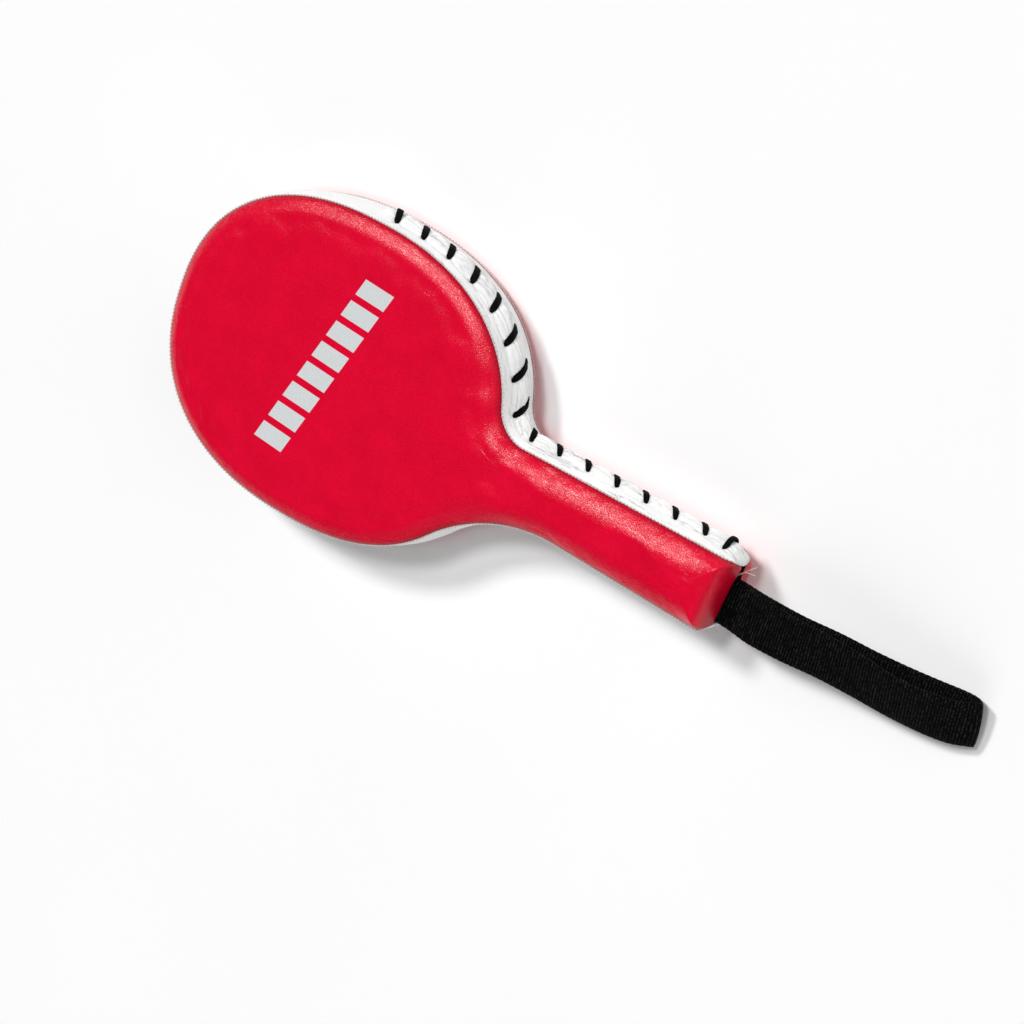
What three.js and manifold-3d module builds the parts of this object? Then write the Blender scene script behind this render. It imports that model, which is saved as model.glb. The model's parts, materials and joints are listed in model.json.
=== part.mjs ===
// A paddle-shaped striking pad with a wrist strap, lying on its rear strike face.
// Millimetres. The origin is on the rear strike face under the middle of the head;
// +X points to the head's tip, +Y to the plain edge, +Z out of the front strike face.
import * as THREE from 'three';
import Module from 'manifold-3d';
import { mergeVertices } from 'three/addons/utils/BufferGeometryUtils.js';

// Plan outline, measured at the seams
const HEAD_HALF_LENGTH = 126.5;
const HEAD_HALF_WIDTH = 99.8;
const HEAD_POWER = 2.3;
const HEAD_SKEW = 0.03;
const NECK_X = -137;
const HANDLE_END_X = -301;
const LACED = { side: -1, neckHalf: 18.8, endHalf: 25, fillet: 24, corner: 3.5 };
const PLAIN = { side: 1, neckHalf: 23, endHalf: 22.5, fillet: 112, corner: 3.5 };
const SLANT_START_X = -250;
const END_SLANT = 0.085;

// Heights above and below the middle plane
const SEAM_HEAD = 18.6;
const SEAM_HANDLE = 15.4;
const CROWN_HEAD = 6;
const CROWN_HANDLE = 8.5;
const SHOULDER = 16;
const END_ROUND = 7;
const END_POWER = 2.5;
const LIP_GAP = 2.1;
const MIDDLE_Z = SEAM_HEAD + CROWN_HEAD;

// Skins and filling
const GAP = 0.3;
const END_GAP = 0.4;
const COVER = 1.5;
const BAND = 1.6;
const BAND_BULGE = 2;
const LACED_HANDLE_BULGE = 4.5;
const BOARD_HALF = 2;
const FIRM_TOP = 12.3;
const GRIP_START_X = -150;
const GRIP_END_X = -274;
const HIDDEN_LACE_ROOM = 7;
const FOAM_INSET = 2.2;
const PADDING_GAP = 0.7;

// Lacing
const LIP_RISE = 3.2;
const HANDLE_LIP_RISE = 3;
const SLIT_HALF = 0.7;
const STITCHES = 16;
const STITCH_PITCH = 21.5;
const FIRST_STITCH_X = 2;
const FRONT_HOLE_OFFSET = 6.4;
const LAST_OFFSET = 0.2;
const HEAD_STITCH = { hole: 8.8, slant: 6.4 };
const HANDLE_STITCH = { hole: 5.6, slant: 4.4 };
const LAST_STITCH = { hole: 7.6, slant: 0.3 };
const HOLE_RADIUS = 2.1;
const LACE_WIDTH = 4.6;
const LACE_THICKNESS = 1.4;
const LACE_ROLLED = 2.2;
const PLACKET_HALF = 12;
const PLACKET = 1.2;
const PLACKET_DEPTH = 5;
const SEAM_THREAD_RADIUS = 0.35;

// Wrist strap
const WEBBING = 1.6;
const WEBBING_WIDTH = 30;
const STRAP_Y = 2.6;
const PIVOT_X = HANDLE_END_X - 1.3;
const STRAP_ROOT_X = PIVOT_X - 0.9;
const TAIL_OUT_X = HANDLE_END_X - 0.4;
const TAIL_IN_X = HANDLE_END_X + 31;

// How finely each stretch of half the outline is cut
const END_STEPS = 2;
const CORNER_STEPS = 4;
const HANDLE_STEPS = 7;
const FILLET_STEPS = 4;
const HEAD_STEPS = 18;
const LOOP_STEPS = 3;

const { lerp, smoothstep, clamp, degToRad } = THREE.MathUtils;
const LEATHER = { roughness: 0.42, metalness: 0 };
const MATERIALS = {
  redLeather: new THREE.MeshStandardMaterial({ color: 0xd8062e, ...LEATHER }),
  whiteLeather: new THREE.MeshStandardMaterial({ color: 0xececec, ...LEATHER }),
  blackLace: new THREE.MeshStandardMaterial({ color: 0x101010, roughness: 0.8 }),
  blackWebbing: new THREE.MeshStandardMaterial({ color: 0x0a0a0a, roughness: 0.9 }),
  whiteThread: new THREE.MeshStandardMaterial({ color: 0xe4d8d8, roughness: 0.8 }),
  firmFoam: new THREE.MeshStandardMaterial({ color: 0x35363a, roughness: 0.95 }),
  softFoam: new THREE.MeshStandardMaterial({ color: 0xd9d2b4, roughness: 0.95 }),
  plywood: new THREE.MeshStandardMaterial({ color: 0xb98d5a, roughness: 0.7 }),
  liner: new THREE.MeshStandardMaterial({ color: 0xcfcfcf, roughness: 0.8 }),
};

// ---------- Plan outline ----------

function signedPower(value, power) {
  return Math.sign(value) * Math.abs(value) ** power;
}

// A point of the skewed superellipse of the head, with its outward normal
function headPoint(angle) {
  const c = Math.cos(angle);
  const s = Math.sin(angle);
  const x = HEAD_HALF_LENGTH * signedPower(c, 2 / HEAD_POWER);
  const y = HEAD_HALF_WIDTH * signedPower(s, 2 / HEAD_POWER);
  const slopeX = signedPower(c, 2 - 2 / HEAD_POWER) / HEAD_HALF_LENGTH;
  const slopeY = signedPower(s, 2 - 2 / HEAD_POWER) / HEAD_HALF_WIDTH;
  const normal = new THREE.Vector2(slopeX - HEAD_SKEW * slopeY, slopeY).normalize();
  return { point: new THREE.Vector2(x, y + HEAD_SKEW * x), normal };
}

function handleLine(edge) {
  const neck = new THREE.Vector2(NECK_X, edge.side * edge.neckHalf);
  const end = new THREE.Vector2(HANDLE_END_X, edge.side * edge.endHalf);
  const along = end.clone().sub(neck).normalize();
  const normal = new THREE.Vector2(edge.side * along.y, -edge.side * along.x);
  return { neck, end, normal };
}

// The arc that joins the head to the handle, found by halving the angle at which it starts
function neckFillet(edge) {
  const line = handleLine(edge);
  let near = Math.PI / 2;
  let far = Math.PI * 0.999;
  for (let step = 0; step < 40; step++) {
    const middle = (near + far) / 2;
    const { point, normal } = headPoint(edge.side * middle);
    const centre = point.addScaledVector(normal, edge.fillet);
    const room = centre.sub(line.neck).dot(line.normal) - edge.fillet;
    if (room > 0) near = middle;
    else far = middle;
  }
  const start = headPoint(edge.side * near);
  const centre = start.point.clone().addScaledVector(start.normal, edge.fillet);
  return { centre, headAngle: near, headSide: start.normal, handleSide: line.normal };
}

function turned(from, to, share) {
  const start = from.angle();
  let sweep = to.angle() - start;
  if (sweep > Math.PI) sweep -= 2 * Math.PI;
  if (sweep < -Math.PI) sweep += 2 * Math.PI;
  const angle = start + sweep * share;
  return new THREE.Vector2(Math.cos(angle), Math.sin(angle));
}

function station(point, normal) {
  return { point, normal };
}

function cornerStations(edge, inset, endInset) {
  const line = handleLine(edge);
  const radius = Math.max(edge.corner - inset, 1);
  const x = HANDLE_END_X + endInset + radius;
  const reach = line.neck.dot(line.normal) - inset - radius;
  const centre = new THREE.Vector2(x, (reach - line.normal.x * x) / line.normal.y);
  const back = new THREE.Vector2(-1, 0);
  return Array.from({ length: CORNER_STEPS + 1 }, (_, k) => {
    const normal = turned(back, line.normal, k / CORNER_STEPS);
    return station(centre.clone().addScaledVector(normal, radius), normal);
  });
}

function filletStations(edge, inset) {
  const fillet = neckFillet(edge);
  return Array.from({ length: FILLET_STEPS + 1 }, (_, k) => {
    const normal = turned(fillet.handleSide, fillet.headSide, k / FILLET_STEPS);
    const point = fillet.centre.clone().addScaledVector(normal, -edge.fillet - inset);
    return station(point, normal);
  });
}

function straightStations(from, to, normal, steps) {
  return Array.from({ length: steps - 1 }, (_, k) => {
    return station(from.clone().lerp(to, (k + 1) / steps), normal.clone());
  });
}

function headStations(edge, insetAt) {
  const { headAngle } = neckFillet(edge);
  return Array.from({ length: HEAD_STEPS - 1 }, (_, k) => {
    const angle = edge.side * headAngle * (1 - (k + 1) / HEAD_STEPS);
    const { point, normal } = headPoint(angle);
    return station(point.addScaledVector(normal, -insetAt(angle)), normal);
  });
}

// Half the outline, from the middle of the handle's end almost to the head's tip
function halfOutline(edge, insetAt, endInset) {
  const inset = insetAt(edge.side * Math.PI);
  const corner = cornerStations(edge, inset, endInset);
  const fillet = filletStations(edge, inset);
  const back = new THREE.Vector2(-1, 0);
  const middle = new THREE.Vector2(HANDLE_END_X + endInset, STRAP_Y);
  const end = straightStations(middle, corner[0].point, back, END_STEPS);
  const side = handleLine(edge).normal;
  const handle = straightStations(corner.at(-1).point, fillet[0].point, side, HANDLE_STEPS);
  return [station(middle, back), ...end, ...corner, ...handle, ...fillet, ...headStations(edge, insetAt)];
}

// The whole outline, moved inwards by one inset on the laced edge and another on the plain edge
function outline(lacedInset = 0, plainInset = lacedInset, endInset = plainInset) {
  const insetAt = (angle) => lerp(lacedInset, plainInset, smoothstep(angle, -1.3, -0.5));
  const tip = headPoint(0);
  tip.point.addScaledVector(tip.normal, -insetAt(0));
  const laced = halfOutline(LACED, insetAt, endInset);
  const plain = halfOutline(PLAIN, insetAt, endInset).slice(1).reverse();
  return [...laced, tip, ...plain];
}

// ---------- Heights ----------

function headShare(x) {
  return smoothstep(x, -160, -90);
}

function endShare(x, wall) {
  const run = clamp((HANDLE_END_X + END_ROUND - x) / (END_ROUND - wall), 0, 1);
  return (1 - run ** END_POWER) ** (1 / END_POWER);
}

function seamHeight(x, wall = 0) {
  const body = lerp(SEAM_HANDLE, SEAM_HEAD, headShare(x));
  return LIP_GAP + (body - LIP_GAP) * endShare(x, wall);
}

function crownHeight(x, wall) {
  return (lerp(CROWN_HANDLE, CROWN_HEAD, headShare(x)) - wall) * endShare(x, wall);
}

// ---------- Solids ----------

function quad(faces, a, b, c, d) {
  faces.push(a, b, c, a, c, d);
}

// A closed body through rings of equal length; the caps close the first and the last ring
function loft(rings, capFaces) {
  const count = rings[0].length;
  const faces = [];
  for (let k = 0; k + 1 < rings.length; k++) {
    for (let i = 0; i < count; i++) {
      const next = (i + 1) % count;
      quad(faces, (k + 1) * count + i, (k + 1) * count + next, k * count + next, k * count + i);
    }
  }
  const last = (rings.length - 1) * count;
  for (const [a, b, c] of capFaces) {
    faces.push(a, b, c, last + a, last + c, last + b);
  }
  const geometry = new THREE.BufferGeometry();
  geometry.setFromPoints(rings.flat());
  geometry.setIndex(faces);
  return geometry;
}

// Caps of an outline ring: rungs from the laced edge straight across to the plain edge
function rungFaces(count) {
  const tip = count / 2;
  const faces = [[0, 1, count - 1], [tip - 1, tip, tip + 1]];
  for (let k = 1; k < tip - 1; k++) {
    faces.push([k, k + 1, count - k - 1], [k, count - k - 1, count - k]);
  }
  return faces;
}

function raised(stations, heightAt) {
  return stations.map(({ point }) => new THREE.Vector3(point.x, point.y, heightAt(point.x)));
}

// Rings of the padded face from its flat middle down to the seam, a wall thickness inside the skin
function shoulderRings(wall, shares) {
  return shares.map((share) => {
    const inset = wall + (SHOULDER - wall) * share;
    const rise = Math.sin((share * Math.PI) / 2);
    return raised(outline(inset), (x) => seamHeight(x, wall) + crownHeight(x, wall) * rise);
  });
}

function coverGeometry() {
  const outside = shoulderRings(0, [1, 0.6, 0.3, 0.1, 0]);
  const inside = shoulderRings(COVER, [0, 0.15, 0.5, 1]);
  const rings = [...outside, ...inside];
  return loft(rings, rungFaces(rings[0].length));
}

function paddingGeometry(wall) {
  const sides = outline(HIDDEN_LACE_ROOM, FOAM_INSET, GRIP_END_X - HANDLE_END_X);
  const level = (z) => raised(sides, () => z);
  const rings = [...shoulderRings(wall, [1, 0.5, 0.15, 0]), level(FIRM_TOP + 2), level(BOARD_HALF + GAP)];
  return loft(rings, rungFaces(rings[0].length));
}

function slabGeometry(lacedInset, plainInset, endInset, low, high) {
  const stations = outline(lacedInset, plainInset, endInset);
  const rings = [raised(stations, () => high), raised(stations, () => low)];
  return loft(rings, rungFaces(stations.length));
}

// The end of the handle is cut at a slant: it leans in towards the head on the plain side
function slantEnd(geometry) {
  const places = geometry.getAttribute('position');
  for (let i = 0; i < places.count; i++) {
    const share = Math.max(0, (SLANT_START_X - places.getX(i)) / (SLANT_START_X - HANDLE_END_X));
    places.setX(i, places.getX(i) + END_SLANT * (places.getY(i) + LACED.endHalf) * share);
  }
  return geometry;
}

function mirrored(geometry) {
  const copy = geometry.clone().scale(1, 1, -1);
  const index = copy.getIndex();
  for (let i = 0; i < index.count; i += 3) {
    const swap = index.getX(i + 1);
    index.setX(i + 1, index.getX(i + 2));
    index.setX(i + 2, swap);
  }
  return copy;
}

// A profile of [outwards, height] pairs carried along stations of the outline
function sweep(stations, profileAt) {
  const rings = stations.map((place) => {
    return profileAt(place).map(([out, z]) => {
      const point = place.point.clone().addScaledVector(place.normal, out);
      return new THREE.Vector3(point.x, point.y, z);
    });
  });
  const flat = profileAt(stations[0]).map(([out, z]) => new THREE.Vector2(out, z));
  return loft(rings, THREE.ShapeUtils.triangulateShape(flat, []));
}

// ---------- Booleans ----------

const wasm = await Module();
wasm.setup();

function toSolid(geometry) {
  const bare = new THREE.BufferGeometry();
  bare.setAttribute('position', geometry.getAttribute('position').clone());
  bare.setIndex(geometry.getIndex());
  const merged = mergeVertices(bare, 1e-4);
  const vertProperties = new Float32Array(merged.getAttribute('position').array);
  const triVerts = new Uint32Array(merged.getIndex().array);
  return new wasm.Manifold(new wasm.Mesh({ numProp: 3, vertProperties, triVerts }));
}

function toGeometry(solid) {
  const { vertProperties, triVerts } = solid.getMesh();
  const geometry = new THREE.BufferGeometry();
  geometry.setAttribute('position', new THREE.BufferAttribute(vertProperties, 3));
  geometry.setIndex(new THREE.BufferAttribute(triVerts, 1));
  return geometry;
}

function block(lowX, highX) {
  const box = new THREE.BoxGeometry(highX - lowX, 400, 200);
  return toSolid(box.translate((lowX + highX) / 2, 0, 0));
}

// ---------- Side band, slit and lacing ----------

// Stations of the seam outline between the two corners of the handle's end
function bandStations() {
  return outline().slice(END_STEPS + 1, -END_STEPS);
}

// The laced edge as a path: positions by length from the first stitch towards the handle
function lacedEdge() {
  const all = outline();
  const edge = all.slice(END_STEPS, all.length / 2).reverse();
  const lengths = [0];
  for (let k = 1; k < edge.length; k++) {
    lengths.push(lengths[k - 1] + edge[k].point.distanceTo(edge[k - 1].point));
  }
  const after = edge.findIndex(({ point }) => point.x < FIRST_STITCH_X);
  const share = (edge[after - 1].point.x - FIRST_STITCH_X) / (edge[after - 1].point.x - edge[after].point.x);
  const first = lerp(lengths[after - 1], lengths[after], share);
  return { edge, lengths, first };
}

const LACED_EDGE = lacedEdge();

function edgeAt(distance) {
  const { edge, lengths, first } = LACED_EDGE;
  const wanted = first + distance;
  const next = clamp(lengths.findIndex((length) => length > wanted), 1, edge.length - 1);
  const share = (wanted - lengths[next - 1]) / (lengths[next] - lengths[next - 1]);
  const point = edge[next - 1].point.clone().lerp(edge[next].point, share);
  const normal = edge[next - 1].normal.clone().lerp(edge[next].normal, share).normalize();
  return station(point, normal);
}

// How far the band swells outwards halfway between its seams
function bulgeAt({ point, normal }) {
  if (normal.y > 0) return BAND_BULGE;
  return lerp(LACED_HANDLE_BULGE, BAND_BULGE, headShare(point.x));
}

// How far the folded lips of the slit stand above the swelling
function lipRise({ point, normal }) {
  if (normal.y > 0) return 0;
  const along = 1 - smoothstep(point.x, 8, 20);
  return along * lerp(HANDLE_LIP_RISE, LIP_RISE, headShare(point.x));
}

// Half the band's height, with more room under the steep end of the covers
function bandHalf(x, wall = 0) {
  const room = END_GAP * (1 - smoothstep(x, HANDLE_END_X + 3, HANDLE_END_X + 14));
  return seamHeight(x, wall) - GAP - room;
}

function bandProfile(place) {
  const half = bandHalf(place.point.x);
  const fullness = Math.min(1, half / (SEAM_HANDLE - GAP));
  const belly = (share) => bulgeAt(place) * fullness * (1 - share * share);
  const lip = lipRise(place) * fullness;
  const outer = [-1, -0.75, -0.45, -0.2, 0.2, 0.45, 0.75, 1].map((share) => {
    return [belly(share) + (Math.abs(share) < 0.3 ? lip : 0), share * half];
  });
  const innerHalf = bandHalf(place.point.x - BAND * place.normal.x, BAND);
  const inner = [1, 0.4, -0.4, -1].map((share) => [belly(share) * 0.9 - BAND, share * innerHalf]);
  return [...outer, ...inner];
}

// Stations along the laced edge in the outline's own order, from near the handle's end to the slit's start
function lacedRun(start, end, steps) {
  return Array.from({ length: steps + 1 }, (_, k) => edgeAt(lerp(end, start, k / steps)));
}

function slitCutter() {
  const runOut = station(new THREE.Vector2(HANDLE_END_X - 3, LACED.side * LACED.endHalf), edgeAt(325).normal);
  return toSolid(sweep([runOut, ...lacedRun(-9, 327, 42)], () => {
    return [[-5, -SLIT_HALF], [7, -SLIT_HALF], [7, SLIT_HALF], [-5, SLIT_HALF]];
  }));
}

function holeCutter(distance, z) {
  const { point, normal } = edgeAt(distance);
  const drill = new THREE.CylinderGeometry(HOLE_RADIUS, HOLE_RADIUS, 14, 6);
  drill.rotateZ(normal.angle() - Math.PI / 2);
  return toSolid(drill.translate(point.x, point.y, z));
}

function bandGeometry() {
  let band = toSolid(sweep(bandStations(), bandProfile));
  band = band.subtract(slitCutter());
  for (let k = 0; k < STITCHES; k++) {
    const { middle, slant, hole } = stitch(k);
    band = band.subtract(holeCutter(middle + slant, hole));
    band = band.subtract(holeCutter(middle - slant, -hole));
  }
  return toGeometry(band);
}

// Where a stitch crosses the slit, and how far its two holes are from there along the edge and in height
function stitch(k) {
  const last = k === STITCHES - 1;
  const onHandle = smoothstep(k, 6, 8.5);
  const slant = last ? LAST_STITCH.slant : lerp(HEAD_STITCH.slant, HANDLE_STITCH.slant, onHandle);
  const hole = last ? LAST_STITCH.hole : lerp(HEAD_STITCH.hole, HANDLE_STITCH.hole, onHandle);
  const offset = last ? LAST_OFFSET : FRONT_HOLE_OFFSET;
  return { middle: k * STITCH_PITCH + offset - slant, slant, hole };
}

// One turn of the lace round the slit: [along the edge, outwards, height, width, thickness].
// It is flat where it lies over the lips, which add their own rise, and rolled up in the holes.
function laceTurn(k) {
  const { middle, slant, hole } = stitch(k);
  const next = stitch(Math.min(k + 1, STITCHES - 1));
  const round = [LACE_ROLLED, LACE_ROLLED];
  const flat = [LACE_WIDTH, LACE_THICKNESS];
  const inside = -BAND - GAP - LACE_ROLLED / 2 - 0.2;
  return [
    [middle + slant, inside + 1.5, hole, ...round],
    [middle + slant, 2.8, hole, ...round],
    [middle + slant * 0.75, 3.2, hole - 2.1, ...flat],
    [middle, 3.4, 0, ...flat],
    [middle - slant * 0.75, 3.2, 2.1 - hole, ...flat],
    [middle - slant, 2.8, -hole, ...round],
    [middle - slant, inside + 1.5, -hole, ...round],
    [middle - slant * 0.7, inside, -hole * 0.75, ...round],
    [(middle + next.middle) / 2, inside, 0, ...round],
    [next.middle + next.slant * 0.7, inside, next.hole * 0.75, ...round],
  ];
}

function laceRoute() {
  const turns = Array.from({ length: STITCHES }, (_, k) => laceTurn(k)).flat();
  const inside = turns[7][1];
  const start = [1, inside, HEAD_STITCH.hole * 0.75, LACE_ROLLED, LACE_ROLLED];
  return [start, ...turns.slice(0, -2)];
}

function laceGeometry() {
  const route = laceRoute().map(([distance, out, z, width, thickness]) => {
    const place = edgeAt(distance);
    const { point, normal } = place;
    const overLips = width === LACE_WIDTH ? lipRise(place) : 0;
    const spot = point.clone().addScaledVector(normal, out + bulgeAt(place) - BAND_BULGE + overLips);
    const along = new THREE.Vector3(normal.y, -normal.x, 0);
    return { spot: new THREE.Vector3(spot.x, spot.y, z), along, width, thickness };
  });
  const rings = route.map(({ spot, along, width, thickness }, k) => {
    const before = route[Math.max(k - 1, 0)].spot;
    const after = route[Math.min(k + 1, route.length - 1)].spot;
    const forward = after.clone().sub(before).normalize();
    const across = along.clone().addScaledVector(forward, -along.dot(forward)).normalize();
    const up = across.clone().cross(forward);
    return Array.from({ length: 8 }, (_, i) => {
      const angle = ((i + 0.5) * Math.PI) / 4;
      return spot.clone()
        .addScaledVector(across, (Math.cos(angle) * width) / 2 / Math.cos(Math.PI / 8))
        .addScaledVector(up, (Math.sin(angle) * thickness) / 2 / Math.cos(Math.PI / 8));
    });
  });
  const section = Array.from({ length: 8 }, (_, i) => {
    return new THREE.Vector2(Math.cos((i * Math.PI) / 4), Math.sin((i * Math.PI) / 4));
  });
  return loft(rings, THREE.ShapeUtils.triangulateShape(section, []));
}

function placketGeometry() {
  return sweep(lacedRun(-22, 319, 42), () => [
    [-PLACKET_DEPTH - PLACKET, -PLACKET_HALF],
    [-PLACKET_DEPTH, -PLACKET_HALF],
    [-PLACKET_DEPTH, PLACKET_HALF],
    [-PLACKET_DEPTH - PLACKET, PLACKET_HALF],
  ]);
}

function seamThreadGeometry() {
  const radius = SEAM_THREAD_RADIUS;
  return sweep(bandStations(), ({ point }) => {
    const z = seamHeight(point.x) - GAP / 2;
    const out = radius + GAP + 0.1;
    return [[out - radius, z], [out, z - radius], [out + radius, z], [out, z + radius]];
  });
}

// ---------- Wrist strap ----------

// Stations of the webbing loop from the root over the top and back: [x, y, z, roll in degrees].
// A positive roll lifts the edge on the laced side.
const LOOP_ROUTE = [
  [STRAP_ROOT_X, STRAP_Y, 25.55, 0], [-311, 3.2, 25.65, 1], [-321, 4.2, 25.75, 3], [-342, 3.9, 25.5, 9],
  [-366, 2.2, 24.6, 14], [-390, 2.2, 22.8, 18], [-413, 3.2, 20.2, 22], [-435, 2.2, 17.2, 21],
  [-451, -0.3, 13.8, 17], [-459.5, -3.6, 9.4, 11], [-459, -2.8, 4.9, 9], [-453.5, -1.8, 2.4, 5],
  [-444, -0.5, 1.7, 3], [-430, 1.4, 2.3, 3], [-412, 2.4, 5.4, 6], [-392, 2.2, 10.4, 9],
  [-370, 1.5, 15.9, 9], [-346, 2.6, 20.7, 6], [-321, 3, 23.2, 1.5], [STRAP_ROOT_X, STRAP_Y, 23.65, 0],
];

function strapGeometry() {
  const points = LOOP_ROUTE.map(([x, y, z]) => new THREE.Vector3(x, y, z));
  const route = new THREE.CatmullRomCurve3(points, false, 'centripetal');
  const count = (points.length - 1) * LOOP_STEPS;
  const rings = Array.from({ length: count + 1 }, (_, k) => {
    const span = Math.min(Math.floor(k / LOOP_STEPS), points.length - 2);
    const roll = degToRad(lerp(LOOP_ROUTE[span][3], LOOP_ROUTE[span + 1][3], k / LOOP_STEPS - span));
    const middle = route.getPoint(k / count);
    const across = new THREE.Vector3(0, Math.cos(roll), -Math.sin(roll));
    const up = across.clone().cross(route.getTangent(k / count)).normalize();
    return [[1, 1], [-1, 1], [-1, -1], [1, -1]].map(([side, face]) => {
      return middle.clone()
        .addScaledVector(across, (side * WEBBING_WIDTH) / 2)
        .addScaledVector(up, (face * WEBBING) / 2);
    });
  });
  return loft(rings, [[0, 1, 2], [0, 2, 3]]);
}

function tailGeometry(side) {
  const tail = new THREE.BoxGeometry(TAIL_IN_X - TAIL_OUT_X, WEBBING_WIDTH, WEBBING);
  return tail.translate((TAIL_IN_X + TAIL_OUT_X) / 2, STRAP_Y, side * (WEBBING / 2 + GAP / 2));
}

// ---------- Assembly ----------

const paddle = new THREE.Group();
const body = new THREE.Group();
body.position.z = MIDDLE_Z;
paddle.add(body);

function add(group, name, geometry, material) {
  const mesh = new THREE.Mesh(geometry, material);
  mesh.name = name;
  group.add(mesh);
}

function addToBody(name, geometry, material) {
  add(body, name, slantEnd(geometry), material);
}

function addBothFaces(name, geometry, material) {
  const rear = mirrored(geometry);
  addToBody(`front_${name}`, geometry, material);
  addToBody(`rear_${name}`, rear, material);
}

const foam = toSolid(paddingGeometry(COVER + PADDING_GAP));
const firm = slabGeometry(HIDDEN_LACE_ROOM, FOAM_INSET, 40, BOARD_HALF + GAP, FIRM_TOP);
const firmHead = toSolid(firm).intersect(block(GRIP_START_X, 200));
const overFirm = toSolid(slabGeometry(-20, -20, 0, FIRM_TOP + GAP, 60));
const softHead = foam.intersect(block(GRIP_START_X, 200)).intersect(overFirm);
const grip = foam.intersect(block(GRIP_END_X, GRIP_START_X - GAP));

addToBody('core_board', slabGeometry(9, 7, 33, -BOARD_HALF, BOARD_HALF), MATERIALS.plywood);
addBothFaces('firm_foam', toGeometry(firmHead), MATERIALS.firmFoam);
addBothFaces('soft_foam', toGeometry(softHead), MATERIALS.softFoam);
addBothFaces('grip_foam', toGeometry(grip), MATERIALS.firmFoam);
addBothFaces('cover', coverGeometry(), MATERIALS.redLeather);
addToBody('side_band', bandGeometry(), MATERIALS.whiteLeather);
addToBody('lace_placket', placketGeometry(), MATERIALS.liner);
addToBody('lace', laceGeometry(), MATERIALS.blackLace);
addBothFaces('seam_thread', seamThreadGeometry(), MATERIALS.whiteThread);
addToBody('front_strap_tail', tailGeometry(1), MATERIALS.blackWebbing);
addToBody('rear_strap_tail', tailGeometry(-1), MATERIALS.blackWebbing);
add(paddle, 'wrist_strap', strapGeometry(), MATERIALS.blackWebbing);

export default paddle;
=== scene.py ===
"""A leather striking paddle with a laced side band and a webbing wrist strap, built round its CAD frame.

Lengths are in millimetres until a mesh is made, and the frame is the part's own: the origin is on the
rear face under the middle of the head, +X runs to the head's tip, +Y to the plain edge and +Z out of the
front face. Materials work in metres, or in a mesh's own millimetres through its UVs.
"""

import json
import math

import bpy
import numpy as np
from mathutils import Matrix, Vector, noise


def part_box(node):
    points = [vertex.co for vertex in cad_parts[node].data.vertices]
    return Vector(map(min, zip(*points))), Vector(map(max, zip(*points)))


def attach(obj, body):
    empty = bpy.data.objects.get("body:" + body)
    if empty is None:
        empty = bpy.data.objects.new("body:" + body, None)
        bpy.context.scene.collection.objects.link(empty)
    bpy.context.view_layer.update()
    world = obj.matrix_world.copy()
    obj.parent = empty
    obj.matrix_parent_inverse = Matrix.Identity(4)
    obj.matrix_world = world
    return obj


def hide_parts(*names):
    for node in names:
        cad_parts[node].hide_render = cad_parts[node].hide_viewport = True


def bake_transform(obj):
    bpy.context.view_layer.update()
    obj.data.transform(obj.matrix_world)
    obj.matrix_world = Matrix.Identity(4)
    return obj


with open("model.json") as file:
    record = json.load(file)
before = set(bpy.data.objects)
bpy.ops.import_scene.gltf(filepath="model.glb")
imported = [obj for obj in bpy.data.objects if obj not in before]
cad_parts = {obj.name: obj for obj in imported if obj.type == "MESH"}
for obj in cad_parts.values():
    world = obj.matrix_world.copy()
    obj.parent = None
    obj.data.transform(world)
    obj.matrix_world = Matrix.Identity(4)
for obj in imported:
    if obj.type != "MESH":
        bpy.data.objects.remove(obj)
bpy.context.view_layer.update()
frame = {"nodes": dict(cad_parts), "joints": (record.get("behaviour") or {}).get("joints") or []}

MM = 0.001


def frame_mm(node, corner, axis):
    """One side of a CAD node's box, in millimetres."""
    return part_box(node)[corner][axis] / MM


# Plan outline at the seams; an edge has its half widths at the neck and at the handle's end, the radius of
# its fillet to the head and the radius of its corner at the end
HANDLE_END_X = -301
HEAD_HALF_LENGTH = frame_mm("front_cover", 1, 0)
HEAD_HALF_WIDTH = 99.8
HEAD_POWER = 2.3
HEAD_SKEW = 0.03
NECK_X = -137
LACED = {"side": -1, "neck": 18.8, "end": 25, "fillet": 24, "corner": 3.5}
PLAIN = {"side": 1, "neck": 23, "end": 22.5, "fillet": 112, "corner": 3.5}
SLANT_START_X = -250
END_SLANT = 0.085
CORNER_REACH = 17
CORNER_Y = (-24, -12)
CORNER_SHARE = 0.5

# Heights above and below the middle plane, and the widths of the padded shoulders
MIDDLE_Z = frame_mm("front_cover", 1, 2) / 2
HEAD_BLEND = (-160, -90)
SEAM_HEAD = 18.6
SEAM_HANDLE = 15.4
CROWN_HEAD = MIDDLE_Z - SEAM_HEAD
CROWN_HANDLE = 8.5
SHOULDER = 16
HEAD_SHOULDER = 11
END_SHOULDER = 7
SHOULDER_POWER = 0.85
END_BLEND = 20
END_ROUND = 7
END_POWER = 2.5
LIP_GAP = 2.1

# Side band and lacing; a stitch has its holes' height and half its slant along the edge
LEATHER = 1.3
BAND_SEAT = 0.12
BAND_BULGE = 2
LACED_HANDLE_BULGE = 4.5
BAND_BACK = -1.6
SLIT_FLOOR = -1.25
SLIT_LEAD = 9
LIP_RISE = 3.5
HANDLE_LIP_RISE = 3.0
STITCHES = 16
STITCH_PITCH = 21.6
FIRST_STITCH_X = 2
FRONT_HOLE_OFFSET = 6.2
LAST_OFFSET = 0.2
HEAD_STITCH = {"hole": 8.2, "slant": 5.2}
HANDLE_STITCH = {"hole": 5.6, "slant": 4.4}
LAST_STITCH = {"hole": 7.6, "slant": 0.3}
OPEN_GAP = 2

# Sewn seams
SEAM_START = 4
SEAM_PITCH = 2.5
SEAM_STITCH = 1.8

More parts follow.
